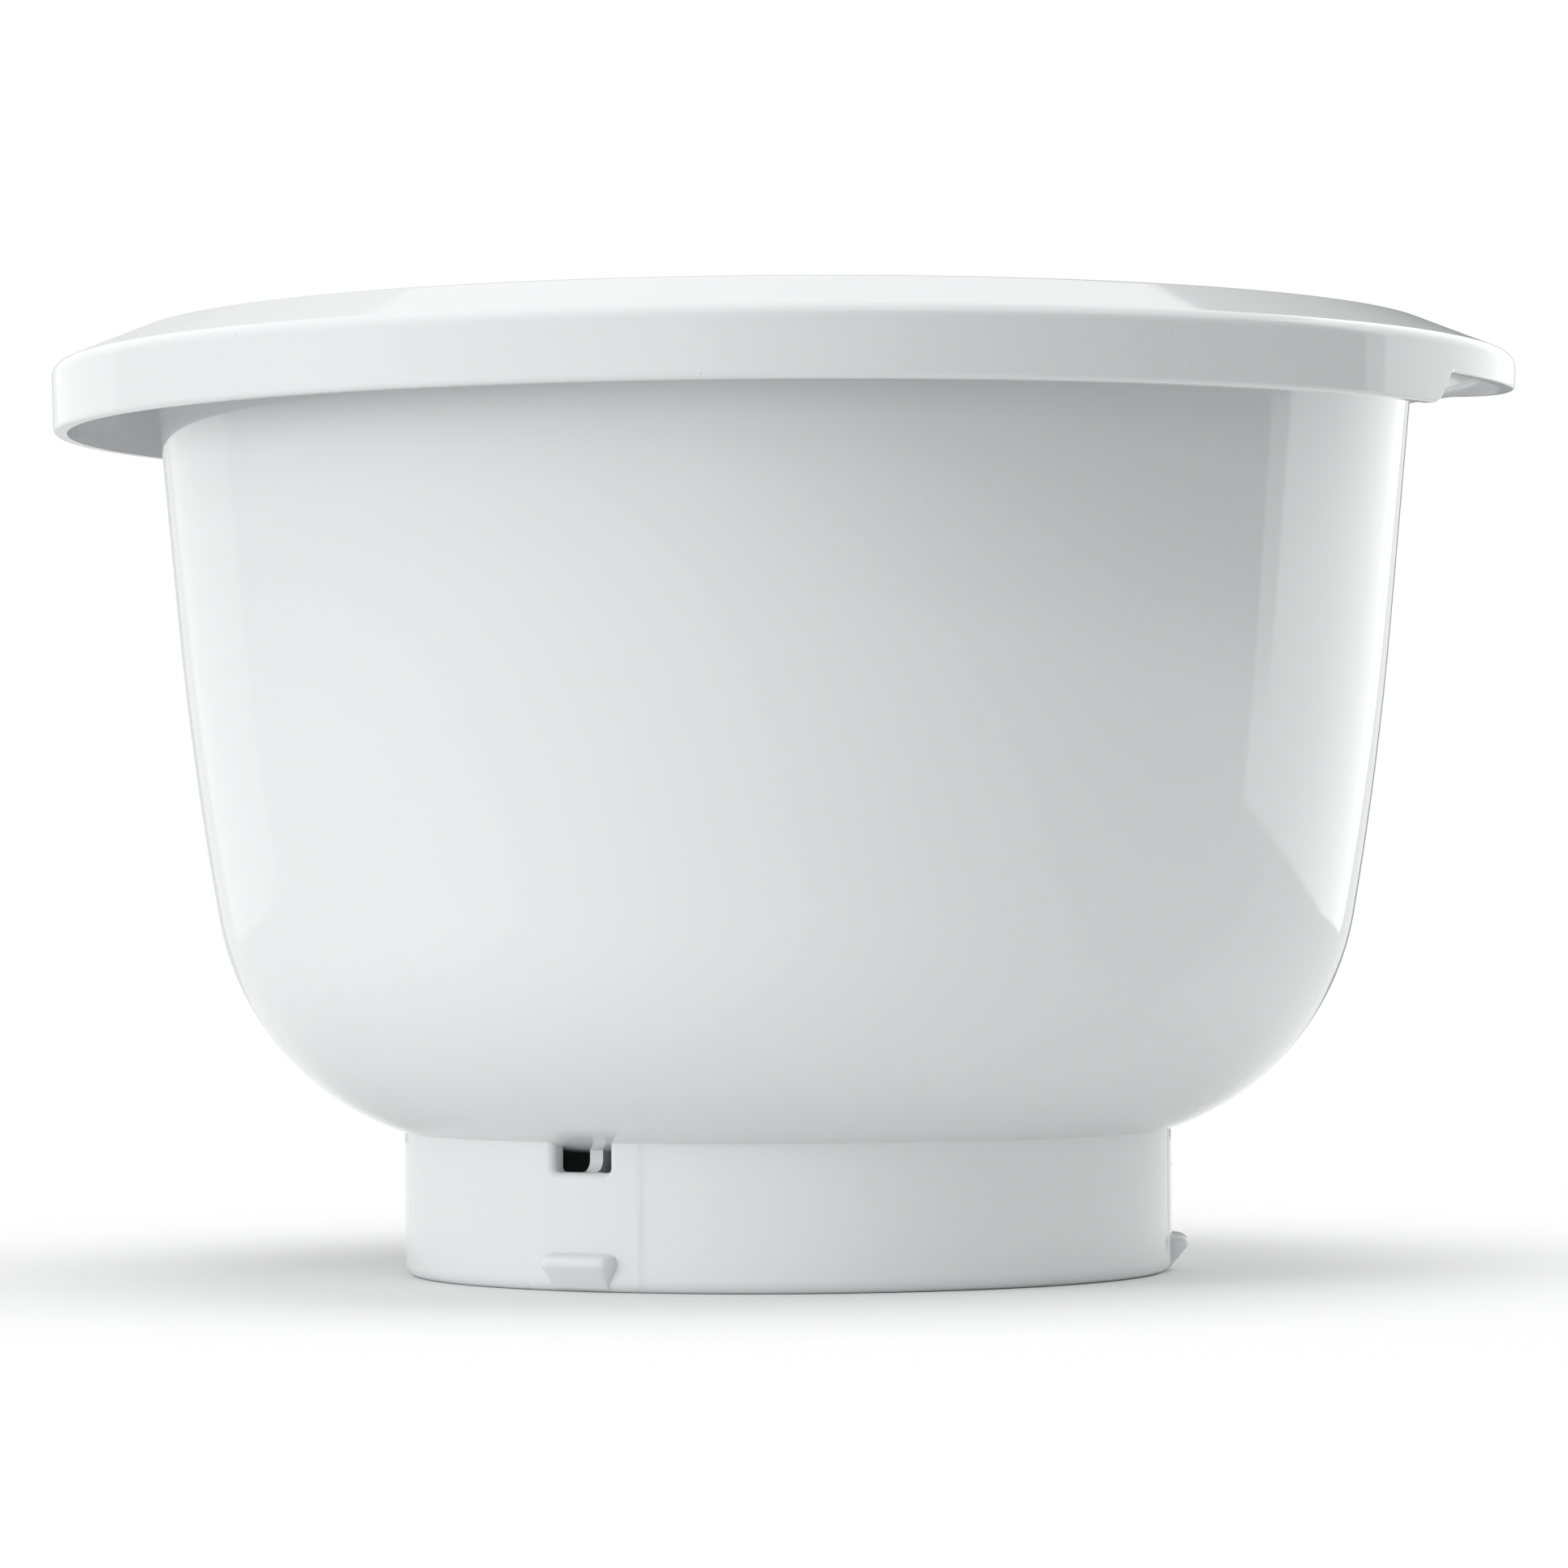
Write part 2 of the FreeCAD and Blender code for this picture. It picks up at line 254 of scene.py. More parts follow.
def lift_skirt(here, there):
    """Lifts the skirt's lower edge on the selected column, from its height at one angle to another's."""
    rise, next_rise = skirt_rise(here), skirt_rise(there)
    if rise == next_rise:
        return
    mesh = bmesh.from_edit_mesh(bowl.data)
    column = [vertex for vertex in mesh.verts if vertex.select]
    foot_height = skirt_foot.z + rise
    rounding = skirt_rounding(rise)
    rounded_top = foot_height + rounding * edge_height
    away = Vector((math.sin(math.radians(there)), -math.cos(math.radians(there)), 0))
    for vertex in column:
        radius = math.hypot(vertex.co.x, vertex.co.y)
        top = rounded_top if radius > edge_centre.x - 0.5 * shading_margin else foot_height
        vertex.select = radius > inner_foot.x - wall / 4 and vertex.co.z < top + 0.1 * shading_margin
    shift = (away * skirt_lean + up) * (next_rise - rise)
    bpy.ops.transform.translate(value=shift)
    corner = away * (skirt_foot.x + next_rise * skirt_lean) + up * (skirt_foot.z + next_rise)
    for vertex in column:
        on_edge = (vertex.co - corner).length < 1.5 * edge_height * rounding
        vertex.select = on_edge and vertex.select
    if rounding < 1 or skirt_rounding(next_rise) < 1:
        scale = skirt_rounding(next_rise) / rounding
        bpy.ops.transform.resize(value=(scale, scale, scale), center_override=corner)
    for vertex in column:
        vertex.select = True
    mesh.select_flush(True)


def turn_round(angle):
    """Turns the whole open mesh round the bowl's axis."""
    bpy.ops.mesh.select_all(action="SELECT")
    bpy.ops.transform.rotate(value=angle, orient_axis="Z", center_override=(0, 0, 0))


def spin_round(degrees, steps=1):
    """Spins the selected end of a mesh on round the bowl's axis."""
    bpy.ops.mesh.spin(steps=steps, angle=math.radians(degrees), center=(0, 0, 0), axis=(0, 0, -1))


first_angle = cutout_angle - cutout_reach
last_angle = cutout_angle + cutout_reach
stops = {first_angle, first_angle + fine_reach, last_angle - fine_reach, last_angle, first_angle + 360}
for lug_angle in lug_angles:
    for side in (-1, 1):
        line = lug_angle + side * slider_half_angle
        edges = (lug_angle + side * window_half_angle, lug_angle + side * window_clear_angle,
                 line - slider_line_angle / 2, line + slider_line_angle / 2)
        stops |= {first_angle + (edge - first_angle) % 360 for edge in edges}
stops = sorted(stops)

turn_round(math.radians(90 - first_angle))
for here, there in zip(stops, stops[1:]):
    fine = there <= first_angle + fine_reach or last_angle - fine_reach <= here < last_angle
    steps = max(1, round((there - here) / (fine_column_step if fine else column_step)))
    if here >= last_angle:
        spin_round(there - here, steps)
        continue
    for index in range(steps):
        spin_round((there - here) / steps)
        lift_skirt(here + (there - here) * index / steps, here + (there - here) * (index + 1) / steps)
bpy.ops.mesh.select_all(action="SELECT")
bpy.ops.mesh.remove_doubles(threshold=weld_distance)
bpy.ops.mesh.normals_make_consistent(inside=False)

# A slide in the mould shapes the foot round each lug. Its two edges leave fine parting lines down
# the foot, and between them the foot stands out by a hair.
slider_step = 0.05 * mm
near = 0.1 * mm


def angle_between(place, angle):
    """Turn from an angle to a place, both counted from the front."""
    return (math.degrees(math.atan2(place.x, -place.y)) - angle + 180) % 360 - 180


def select_vertices(test):
    """Selects the vertices that pass a test, with the edges and faces between them."""
    bpy.ops.mesh.select_all(action="DESELECT")
    mesh = bmesh.from_edit_mesh(bowl.data)
    for vertex in mesh.verts:
        vertex.select = test(vertex.co)
    mesh.select_flush(True)


def select_edges(test):
    """Selects the edges that pass a test."""
    bpy.ops.mesh.select_all(action="DESELECT")
    mesh = bmesh.from_edit_mesh(bowl.data)
    for edge in mesh.edges:
        if test(edge):
            edge.select_set(True)


def radius_of(place):
    """Distance of a place from the bowl's axis."""
    return math.hypot(place.x, place.y)


outside_foot = foot_radius - foot_wall / 2
for lug_angle in lug_angles:
    select_vertices(lambda place: place.z < joint_outside.z + near
                    and outside_foot < radius_of(place)
                    and abs(angle_between(place, lug_angle)) < slider_half_angle)
    spread = 1 + slider_step / foot_radius
    bpy.ops.transform.resize(value=(spread, spread, 1), center_override=(0, 0, 0))

# Over each lug a window goes through the foot ring, right up to the underside of the bowl. Its
# cheeks are parallel, its lower corners are round, and its mouth is rounded on the outside.
on_surface = 0.3 * mm
hair = 0.01 * mm
hair_angle = 0.02
upright = 0.1
cheek_margin = 0.05 * mm


def is_window_corner(place, angle):
    """Whether a place is a lower corner of the window at an angle."""
    beside = abs(abs(angle_between(place, angle)) - window_half_angle)
    return abs(place.z - window_sill_height) < hair and beside < hair_angle


def beyond_window(place, angle):
    """Whether a place is below or beside the window at an angle."""
    return (place.z < window_sill_height - hair
            or abs(angle_between(place, angle)) > window_half_angle + hair_angle)


for lug_angle in lug_angles:
    bpy.ops.mesh.select_all(action="DESELECT")
    mesh = bmesh.from_edit_mesh(bowl.data)
    for face in mesh.faces:
        middle = face.calc_center_median()
        face.select = (abs(face.normal.z) < upright and window_sill_height < middle.z < joint_outside.z
                       and foot_inner - on_surface < radius_of(middle) < foot_radius + on_surface
                       and abs(angle_between(middle, lug_angle)) < window_half_angle)
    bpy.ops.mesh.delete(type="ONLY_FACE")
    select_edges(lambda edge: any(is_window_corner(end.co, lug_angle) for end in edge.verts)
                 and beyond_window((edge.verts[0].co + edge.verts[1].co) / 2, lug_angle))
    bpy.ops.mesh.dissolve_edges(use_verts=False)
    select_edges(lambda edge: edge.is_boundary)
    bpy.ops.mesh.bridge_edge_loops()
    across = Vector((math.cos(math.radians(lug_angle)), math.sin(math.radians(lug_angle)), 0))
    widening = window_width / 2 * (1 - foot_inner / foot_radius)
    for side in (-1, 1):
        select_vertices(lambda place: window_sill_height - hair < place.z < joint_outside.z
                        and radius_of(place) < foot_inner + on_surface
                        and abs(angle_between(place, lug_angle) - side * window_half_angle) < hair_angle)
        bpy.ops.transform.translate(value=across * side * widening)
    select_edges(lambda edge: edge.calc_length() > wall
                 and all(abs(end.co.z - window_sill_height) < hair
                         and abs(abs(end.co @ across) - window_width / 2) < cheek_margin
                         for end in edge.verts))
    bpy.ops.mesh.bevel(offset=window_corner_radius, segments=4, affect="EDGES")


def is_window_rim(edge):
    """Whether an edge runs round a window on the foot's outside, below the underside of the bowl."""
    if len(edge.link_faces) != 2 or min(radius_of(end.co) for end in edge.verts) < outside_foot:
        return False
    middle = (edge.verts[0].co + edge.verts[1].co) / 2
    beside = [radius_of(face.calc_center_median()) for face in edge.link_faces]
    return (window_sill_height - near < middle.z < joint_outside.z - near
            and min(beside) < foot_radius - foot_wall / 4 < max(beside))


select_edges(is_window_rim)
bpy.ops.mesh.bevel(offset=window_edge_radius, segments=6, affect="EDGES")
bpy.ops.object.mode_set(mode="OBJECT")

# A rib stands under the floor behind each window, on the inside of the foot, and flares out to the
# window's sill.
rib_thickness = 2.5 * mm
rib_setback = 2.0 * mm
rib_length = 13.0 * mm
rib_drop = 9.0 * mm


def underside_inside(radius):
    """Place half way into the floor's thickness over a radius."""
    reach = max(radius - bottom_centre.x, 0)
    return point(radius, bottom_centre.z - math.sqrt((bottom_radius - wall / 2) ** 2 - reach ** 2))


additions = []
rib_front, rib_tail = foot_inner - rib_setback, foot_inner - rib_length
rib_seat, sill = foot_inner + foot_wall / 2, window_sill_height
for lug_angle in lug_angles:
    rib = start_outline(point(rib_front, sill + rib_setback))
    draw_arc(point(foot_inner, sill + rib_setback), 180, 270, steps=6)
    draw_through(point(foot_inner, sill), point(rib_seat, sill), point(rib_seat, sill - rib_drop),
                 point(foot_inner, sill - rib_drop), point(rib_tail, underside_height - wall),
                 underside_inside(rib_tail), underside_inside(rib_front))
    bpy.ops.mesh.select_all(action="SELECT")
    bpy.ops.mesh.edge_face_add()
    bpy.ops.mesh.extrude_region_move(TRANSFORM_OT_translate={"value": (0, rib_thickness, 0)})
    bpy.ops.mesh.select_all(action="SELECT")
    bpy.ops.mesh.normals_make_consistent(inside=False)
    bpy.ops.object.mode_set(mode="OBJECT")
    rib.location.y = -rib_thickness / 2
    bpy.ops.object.transform_apply()
    rib.rotation_euler.z = math.radians(lug_angle - 90)
    bpy.ops.object.transform_apply()
    additions.append(rib)

# Three bayonet lugs stand out from the foot a little above the table. Each is a short ridge with
# a falling top, a round nose and a steep underside, and its rounded ends are steeper than its nose.
lug_reach = 2.8 * mm
lug_half_length = 7.0 * mm
lug_end_reach = 2.0 * mm
lug_top_height = 6.4 * mm
lug_top_fall = 10.0
lug_nose_radius = 1.3 * mm
lug_underside_angle = 40.0
lug_root_height = 0.6 * mm
lug_root_depth = 0.8 * mm
lug_weld_distance = 0.001 * mm

lug_root = foot_radius - lug_root_depth
nose_reach = lug_reach - lug_nose_radius
fall = math.radians(lug_top_fall)
nose = point(foot_radius + nose_reach, lug_top_height - nose_reach * math.tan(fall)
             - lug_nose_radius / math.cos(fall))
top_end = nose + heading(90 - lug_top_fall) * lug_nose_radius
under_start = nose + heading(-lug_underside_angle) * lug_nose_radius
under_end = crossing(under_start, heading(-90 - lug_underside_angle), point(0, lug_root_height), outward)
root_top = crossing(top_end, heading(-lug_top_fall), point(lug_root, 0), up)
ridge_angle = math.asin((lug_half_length - lug_end_reach) / lug_root)
for lug_angle in lug_angles:
    lug = start_outline(root_top)
    draw_line(root_top, top_end)
    draw_arc(nose, 90 - lug_top_fall, -lug_underside_angle, steps=10)
    draw_line(under_start, under_end)
    draw_through(under_end, point(lug_root, lug_root_height), root_top)
    bpy.ops.mesh.select_all(action="SELECT")
    bpy.ops.mesh.remove_doubles(threshold=lug_weld_distance)
    bpy.ops.mesh.select_all(action="SELECT")
    bpy.ops.mesh.spin(steps=6, angle=ridge_angle, center=(0, 0, 0), axis=(0, 0, -1))
    pivot = (lug_root * math.cos(ridge_angle), lug_root * math.sin(ridge_angle), 0)
    bpy.ops.mesh.spin(steps=10, angle=math.pi / 2, center=pivot, axis=(0, 0, -1))
    turn_round(ridge_angle)
    mesh = bmesh.from_edit_mesh(lug.data)
    for vertex in mesh.verts:
        vertex.select = vertex.co.y > hair
    mesh.select_flush(True)
    squeeze = lug_end_reach / (lug_reach + lug_root_depth)
    bpy.ops.transform.resize(value=(1, squeeze, 1), center_override=(0, 0, 0))
    bpy.ops.mesh.select_all(action="SELECT")
    bpy.ops.mesh.remove_doubles(threshold=lug_weld_distance)
    turn_round(-ridge_angle)
    bpy.ops.mesh.select_all(action="DESELECT")
    mesh = bmesh.from_edit_mesh(lug.data)
    for edge in mesh.edges:
        edge.select_set(edge.is_boundary and max(end.co.y for end in edge.verts) > hair)
    bpy.ops.mesh.edge_face_add()
    bpy.ops.object.mode_set(mode="OBJECT")
    mirror = lug.modifiers.new("other_half", "MIRROR")
    mirror.use_axis = (False, True, False)
    mirror.merge_threshold = hair
    bpy.ops.object.modifier_apply(modifier=mirror.name)
    bpy.ops.object.mode_set(mode="EDIT")
    bpy.ops.mesh.select_all(action="SELECT")
    bpy.ops.mesh.normals_make_consistent(inside=False)
    bpy.ops.object.mode_set(mode="OBJECT")
    lug.rotation_euler.z = math.radians(lug_angle - 90)
    bpy.ops.object.transform_apply()
    additions.append(lug)

bpy.ops.object.select_all(action="DESELECT")
for piece in additions:
    piece.select_set(True)
bpy.context.view_layer.objects.active = additions[0]
bpy.ops.object.join()
union = bowl.modifiers.new("ribs_and_lugs", "BOOLEAN")
union.operation = "UNION"
union.solver = "EXACT"
union.object = additions[0]
bpy.context.view_layer.objects.active = bowl
bpy.ops.object.modifier_apply(modifier=union.name)
bpy.data.objects.remove(additions[0])
bpy.ops.object.select_all(action="DESELECT")
bowl.select_set(True)
bpy.context.view_layer.objects.active = bowl
crease_angle = 32.0
bpy.ops.object.shade_smooth_by_angle(angle=math.radians(crease_angle))

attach(bowl, "root")
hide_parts("mixing_bowl")

# The plastic is white right through and polished by the mould. Its skin has long shallow waves from
# the moulding and a fine haze, and use has left a few dark specks and pale nicks in it.


def add_node(tree, kind, inputs, **settings):
    """Adds a node to a tree, with values or other nodes' outputs on its inputs."""
    node = tree.nodes.new(kind)
    for name, value in settings.items():
        setattr(node, name, value)
    for name, value in inputs.items():
        if isinstance(value, bpy.types.NodeSocket):
            tree.links.new(value, node.inputs[name])
        else:
            node.inputs[name].default_value = value
    return node


def start_group(name, inputs, outputs):
    """Opens a shader node group with its inputs, each with a kind and a value, and its outputs."""
    group = bpy.data.node_groups.new(name, "ShaderNodeTree")
    for socket, (kind, value) in inputs.items():
        group.interface.new_socket(socket, in_out="INPUT", socket_type=kind).default_value = value
    for socket, kind in outputs.items():
        group.interface.new_socket(socket, in_out="OUTPUT", socket_type=kind)
    return group, group.nodes.new("NodeGroupInput").outputs, group.nodes.new("NodeGroupOutput").inputs


cloud_scale = 14.0
skin, given, put = start_group(
    "moulded_skin",
    {"Place": ("NodeSocketVector", (0, 0, 0)), "Wave Size": ("NodeSocketFloat", 0.03),
     "Wave Depth": ("NodeSocketFloat", 0.00001), "Grain Size": ("NodeSocketFloat", 0.0006),
     "Grain Depth": ("NodeSocketFloat", 0.0000002), "Gloss": ("NodeSocketFloat", 0.05),
     "Haze": ("NodeSocketFloat", 0.03)},
    {"Height": "NodeSocketFloat", "Roughness": "NodeSocketFloat", "Cloud": "NodeSocketFloat"})
per_wave = add_node(skin, "ShaderNodeMath", {0: 1.0, 1: given["Wave Size"]}, operation="DIVIDE")
per_grain = add_node(skin, "ShaderNodeMath", {0: 1.0, 1: given["Grain Size"]}, operation="DIVIDE")
waves = add_node(skin, "ShaderNodeTexNoise", {"Vector": given["Place"], "Scale": per_wave.outputs[0],
                                              "Detail": 1.0})
grain = add_node(skin, "ShaderNodeTexNoise", {"Vector": given["Place"], "Scale": per_grain.outputs[0],
                                              "Detail": 2.0})
clouds = add_node(skin, "ShaderNodeTexNoise", {"Vector": given["Place"], "Scale": cloud_scale,
                                               "Detail": 3.0})
wave_height = add_node(skin, "ShaderNodeMath", {0: waves.outputs[0], 1: given["Wave Depth"]},
                       operation="MULTIPLY")
skin_height = add_node(skin, "ShaderNodeMath", {0: grain.outputs[0], 1: given["Grain Depth"],
                                                2: wave_height.outputs[0]}, operation="MULTIPLY_ADD")
haze = add_node(skin, "ShaderNodeMath", {0: clouds.outputs[0], 1: given["Haze"], 2: given["Gloss"]},
                operation="MULTIPLY_ADD")
skin.links.new(skin_height.outputs[0], put["Height"])
skin.links.new(haze.outputs[0], put["Roughness"])
skin.links.new(clouds.outputs[0], put["Cloud"])

ragged_scale = 3000.0
blemish_edge = 1.6
blemish, given, put = start_group(
    "blemish",
    {"Place": ("NodeSocketVector", (0, 0, 0)), "Centre": ("NodeSocketVector", (0, 0, 0)),
     "Radius": ("NodeSocketFloat", 0.0002), "Strength": ("NodeSocketFloat", 1.0),
     "Others": ("NodeSocketFloat", 0.0)},
    {"Mask": "NodeSocketFloat"})
away = add_node(blemish, "ShaderNodeVectorMath", {0: given["Place"], 1: given["Centre"]},
                operation="DISTANCE")
ragged = add_node(blemish, "ShaderNodeTexNoise", {"Vector": given["Place"], "Scale": ragged_scale,
                                                  "Detail": 1.0})
reach = add_node(blemish, "ShaderNodeMath", {0: ragged.outputs[0], 1: given["Radius"],
                                             2: away.outputs["Value"]}, operation="MULTIPLY_ADD")
edge = add_node(blemish, "ShaderNodeMath", {0: given["Radius"], 1: blemish_edge},
                operation="MULTIPLY")
spot = add_node(blemish, "ShaderNodeMapRange", {"Value": reach.outputs[0], 1: edge.outputs[0],
                                                2: given["Radius"], 3: 0.0, 4: given["Strength"]})
most = add_node(blemish, "ShaderNodeMath", {0: spot.outputs[0], 1: given["Others"]},
                operation="MAXIMUM")
blemish.links.new(most.outputs[0], put["Mask"])

# Dark specks and pale nicks, each with its place and radius in millimetres and its strength.
specks = [((-86.4, -90.2, 153.6), 0.16, 0.55), ((-79.5, -96.4, 153.2), 0.11, 0.3),
          ((-75.4, -99.5, 153.6), 0.13, 0.35), ((-88.9, -87.7, 149.9), 0.12, 0.4),
          ((-91.5, -85.0, 150.0), 0.1, 0.25), ((-96.3, -79.3, 154.0), 0.1, 0.2),
          ((-12.6, -124.1, 144.2), 0.14, 0.6), ((60.4, -109.4, 151.0), 0.14, 0.45),
          ((63.3, -107.5, 146.9), 0.13, 0.4), ((87.4, -58.4, 126.7), 0.14, 0.35),
          ((92.4, -51.6, 134.8), 0.1, 0.2), ((94.8, -43.9, 120.5), 0.1, 0.2)]
nicks = [((21.2, -102.9, 126.4), 0.17, 0.8)]
plastic_white = (0.745, 0.755, 0.76, 1)
plastic_pale = (0.765, 0.772, 0.775, 1)
speck_brown = (0.12, 0.11, 0.1, 1)
nick_white = (0.95, 0.95, 0.95, 1)

plastic = bpy.data.materials.new("bowl_plastic")
plastic.use_nodes = True
tree = plastic.node_tree
shader = tree.nodes["Principled BSDF"]
shader.inputs["IOR"].default_value = 1.5
place = add_node(tree, "ShaderNodeTexCoord", {}).outputs["Object"]
surface = add_node(tree, "ShaderNodeGroup", {"Place": place}, node_tree=skin)


def place_blemishes(rows):
    """Places one group for each blemish, each handing its mask on to the next."""
    mask = 0.0
    for centre, radius, strength in rows:
        inputs = {"Place": place, "Centre": [value * mm for value in centre], "Radius": radius * mm,
                  "Strength": strength, "Others": mask}
        spot = add_node(tree, "ShaderNodeGroup", inputs, node_tree=blemish)
        mask = spot.outputs["Mask"]
    return mask


pigment = add_node(tree, "ShaderNodeMix", {0: surface.outputs["Cloud"], 6: plastic_white,
                                           7: plastic_pale}, data_type="RGBA")
specked = add_node(tree, "ShaderNodeMix", {0: place_blemishes(specks), 6: pigment.outputs[2],
                                           7: speck_brown}, data_type="RGBA")
nicked = add_node(tree, "ShaderNodeMix", {0: place_blemishes(nicks), 6: specked.outputs[2],
                                          7: nick_white}, data_type="RGBA")
relief = add_node(tree, "ShaderNodeBump", {"Height": surface.outputs["Height"], "Distance": 1.0,
                                           "Strength": 1.0})
tree.links.new(nicked.outputs[2], shader.inputs["Base Color"])
tree.links.new(surface.outputs["Roughness"], shader.inputs["Roughness"])
tree.links.new(relief.outputs[0], shader.inputs["Normal"])
bowl.data.materials.clear()
bowl.data.materials.append(plastic)

# The bowl stands on a plain white paper floor. The paper keeps the bowl's shadow near it and runs
# out to clear white further off, where the camera and the plastic's gloss see it. Further off its
# colour is darkened as painted shade, so it also throws less light back onto the bowl, though the
# camera still sees the paper's full white colour.
paper_white = (0.9, 0.9, 0.9, 1)
paper_dim = (0.3, 0.3, 0.3, 1)
dim_start, dim_end = 0.2, 0.7
clear_start, clear_end = 0.07, 0.28


def seen_rays(tree, path):
    """One for rays from the camera, off gloss and through clear matter, and nothing for others."""
    seen = add_node(tree, "ShaderNodeMath", {0: path["Is Camera Ray"], 1: path["Is Glossy Ray"]},
                    operation="ADD")
    seen = add_node(tree, "ShaderNodeMath", {0: seen.outputs[0], 1: path["Is Transmission Ray"]},
                    operation="ADD", use_clamp=True)
    return seen.outputs[0]


bpy.ops.mesh.primitive_circle_add(vertices=96, radius=6, fill_type="NGON", location=(0, 0, 0))
floor = bpy.context.object
floor.name = "paper_floor"
paper = bpy.data.materials.new("paper")
paper.use_nodes = True
tree = paper.node_tree
sheet = tree.nodes["Principled BSDF"]
sheet.inputs["Specular IOR Level"].default_value = 0
sheet.inputs["Roughness"].default_value = 1
place = add_node(tree, "ShaderNodeTexCoord", {}).outputs["Object"]
off_bowl = add_node(tree, "ShaderNodeVectorMath", {0: place}, operation="LENGTH")
# Painted shade: for the light it throws back, the paper's colour darkens from paper_white to paper_dim
# further off.
dimming = add_node(tree, "ShaderNodeMapRange", {"Value": off_bowl.outputs["Value"], 1: dim_start,
                                                2: dim_end})
tone = add_node(tree, "ShaderNodeMix", {0: dimming.outputs[0], 6: paper_white, 7: paper_dim},
                data_type="RGBA")
clear = add_node(tree, "ShaderNodeEmission", {"Color": (1, 1, 1, 1), "Strength": 1.0})
path = add_node(tree, "ShaderNodeLightPath", {}).outputs
shown = add_node(tree, "ShaderNodeMix", {0: path["Is Camera Ray"], 6: tone.outputs[2],
                                         7: paper_white}, data_type="RGBA")
tree.links.new(shown.outputs[2], sheet.inputs["Base Color"])
fade = add_node(tree, "ShaderNodeMapRange", {"Value": off_bowl.outputs["Value"], 1: clear_start,
                                             2: clear_end, 4: seen_rays(tree, path)},
                interpolation_type="SMOOTHSTEP")
blend = add_node(tree, "ShaderNodeMixShader", {0: fade.outputs[0], 1: sheet.outputs[0],
                                               2: clear.outputs[0]})
tree.links.new(blend.outputs[0], tree.nodes["Material Output"].inputs["Surface"])
floor.data.materials.append(paper)

# The studio is a white room. The camera and the plastic's gloss see it at full white, and it lights
# the bowl at under half of that.
ambient = 0.45
world = bpy.data.worlds.new("studio")
bpy.context.scene.world = world
world.use_nodes = True
tree = world.node_tree
path = add_node(tree, "ShaderNodeLightPath", {}).outputs
room = add_node(tree, "ShaderNodeMapRange", {"Value": seen_rays(tree, path), 3: ambient, 4: 1.0})
tree.links.new(room.outputs[0], tree.nodes["Background"].inputs["Strength"])
tree.nodes["Background"].inputs["Color"].default_value = (1, 1, 1, 1)


def stand(lamp, azimuth, elevation, distance):
    """Stands a lamp round the bowl, facing it, by its angle from the front and its height angle."""
    turn, rise = math.radians(azimuth), math.radians(elevation)
    away = Vector((math.sin(turn) * math.cos(rise), -math.cos(turn) * math.cos(rise), math.sin(rise)))
    lamp.location = away * distance + up * overall_height / 2
    lamp.rotation_euler = away.to_track_quat("Z", "Y").to_euler()


# Soft boxes, each with its angle from the front, its height angle, its distance, its width and
# height, and its brightness, where white paper has 1. The two panels beside the bowl also shine in
# its gloss. The others are kept out of it, because the photograph shows no sharp box there.
lamps = {
    "front_low": (-28, 6, 1.5, 0.8, 0.4, 2.7),
    "key_low": (-64, 10, 1.4, 0.8, 0.5, 3.8),
    "key_mid": (-42, 30, 1.4, 0.7, 0.5, 1.6),
    "key_high": (-30, 56, 1.4, 0.8, 0.6, 1.6),
    "overhead": (0, 88, 1.4, 0.9, 0.9, 2.9),
    "right_high": (78, 50, 1.4, 0.6, 0.6, 0.8),
    "right_panel": (116, 20, 0.36, 0.4, 0.4, 0.9),
    "left_panel": (-123.5, 20, 0.35, 0.2, 0.4, 0.25),
}
for name, (azimuth, elevation, distance, width, height, brightness) in lamps.items():
    bpy.ops.object.light_add(type="AREA")
    lamp = bpy.context.object
    lamp.name = name
    lamp.data.shape = "RECTANGLE"
    lamp.data.size, lamp.data.size_y = width, height
    lamp.data.energy = brightness * math.pi * width * height
    lamp.visible_camera = False
    lamp.visible_glossy = name.endswith("panel")
    stand(lamp, azimuth, elevation, distance)

# Two screens stand where the photograph's reflections are dark: a black one in front and on the
# right, and a grey one behind, darker on the right. They show only in the plastic's gloss. The
# black one thins out towards its lower edge and its left end.
black_full_height = 0.07
black_fade_start, black_fade_end = -0.2, 0.3
grey_start, grey_end = -0.15, 0.15
grey_left, grey_right = 0.75, 0.25

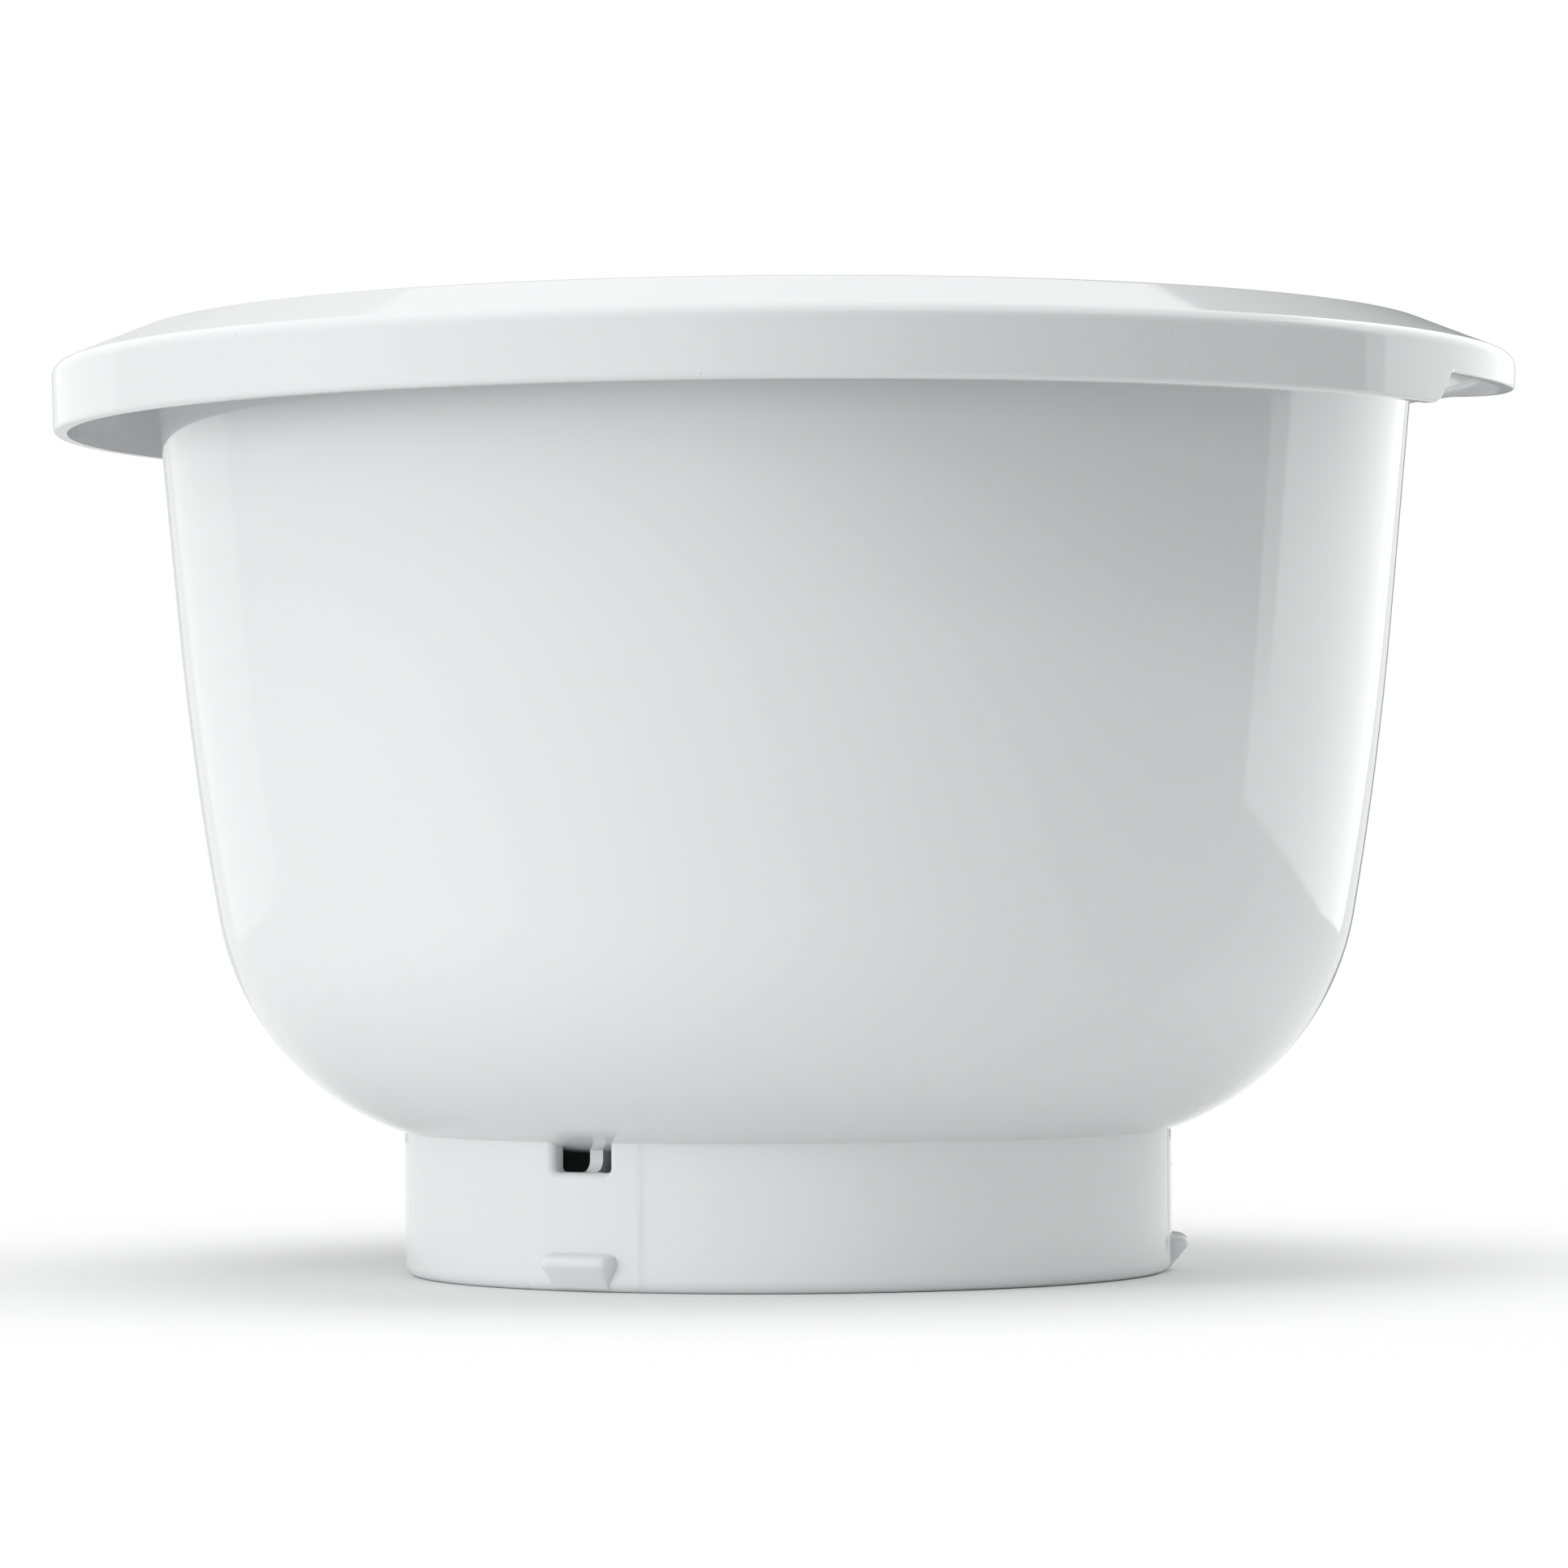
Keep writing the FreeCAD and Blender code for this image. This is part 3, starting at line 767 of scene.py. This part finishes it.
screen_black = bpy.data.materials.new("screen_black")
screen_black.use_nodes = True
tree = screen_black.node_tree
tree.nodes["Principled BSDF"].inputs["Base Color"].default_value = (0, 0, 0, 1)
tree.nodes["Principled BSDF"].inputs["Specular IOR Level"].default_value = 0
place = add_node(tree, "ShaderNodeTexCoord", {}).outputs["Object"]
axes = add_node(tree, "ShaderNodeSeparateXYZ", {"Vector": place}).outputs
from_base = add_node(tree, "ShaderNodeMapRange", {"Value": axes["Z"], 1: 0.0, 2: black_full_height})
from_end = add_node(tree, "ShaderNodeMapRange", {"Value": axes["X"], 1: black_fade_start,
                                                 2: black_fade_end})
cover = add_node(tree, "ShaderNodeMath", {0: from_base.outputs[0], 1: from_end.outputs[0]},
                 operation="MULTIPLY")
tree.links.new(cover.outputs[0], tree.nodes["Principled BSDF"].inputs["Alpha"])
screen_grey = bpy.data.materials.new("screen_grey")
screen_grey.use_nodes = True
tree = screen_grey.node_tree
place = add_node(tree, "ShaderNodeTexCoord", {}).outputs["Object"]
axes = add_node(tree, "ShaderNodeSeparateXYZ", {"Vector": place}).outputs
greyness = add_node(tree, "ShaderNodeMapRange", {"Value": axes["X"], 1: grey_start, 2: grey_end,
                                                 3: grey_left, 4: grey_right})
grey_light = add_node(tree, "ShaderNodeEmission", {"Strength": greyness.outputs[0]})
tree.links.new(grey_light.outputs[0], tree.nodes["Material Output"].inputs["Surface"])

# Each screen's first and last angle from the front, its distance, its height and its finish.
screens = {
    "screen_front": (-15, 98, 0.78, 0.7, screen_black),
    "screen_behind": (158, 206, 0.6, 0.55, screen_grey),
}
for name, (start_angle, end_angle, radius, height, finish) in screens.items():
    screen = start_outline((radius, 0, 0))
    bpy.ops.mesh.extrude_region_move(TRANSFORM_OT_translate={"value": (0, 0, height)})
    turn_round(math.radians(90 - start_angle))
    spin_round(end_angle - start_angle, steps=60)
    bpy.ops.object.mode_set(mode="OBJECT")
    screen.name = name
    screen.data.materials.append(finish)
    screen.visible_camera = screen.visible_diffuse = screen.visible_shadow = False

# The camera stands a good metre in front, a little lower than half the bowl's height.
camera_distance = 1.11487
camera_height = 0.06532
camera_pitch = 0.0163
camera_yaw = 0.0003
camera_roll = -0.0060
bpy.ops.object.camera_add(location=(0, -camera_distance, camera_height))
camera = bpy.context.object
turn = (Matrix.Rotation(camera_yaw, 4, "Z") @ Matrix.Rotation(math.pi / 2 + camera_pitch, 4, "X")
        @ Matrix.Rotation(camera_roll, 4, "Z"))
camera.rotation_euler = turn.to_euler()
camera.data.lens = 149.16
camera.data.sensor_width = 36
bpy.context.scene.camera = camera

bpy.context.scene.view_settings.view_transform = "Standard"
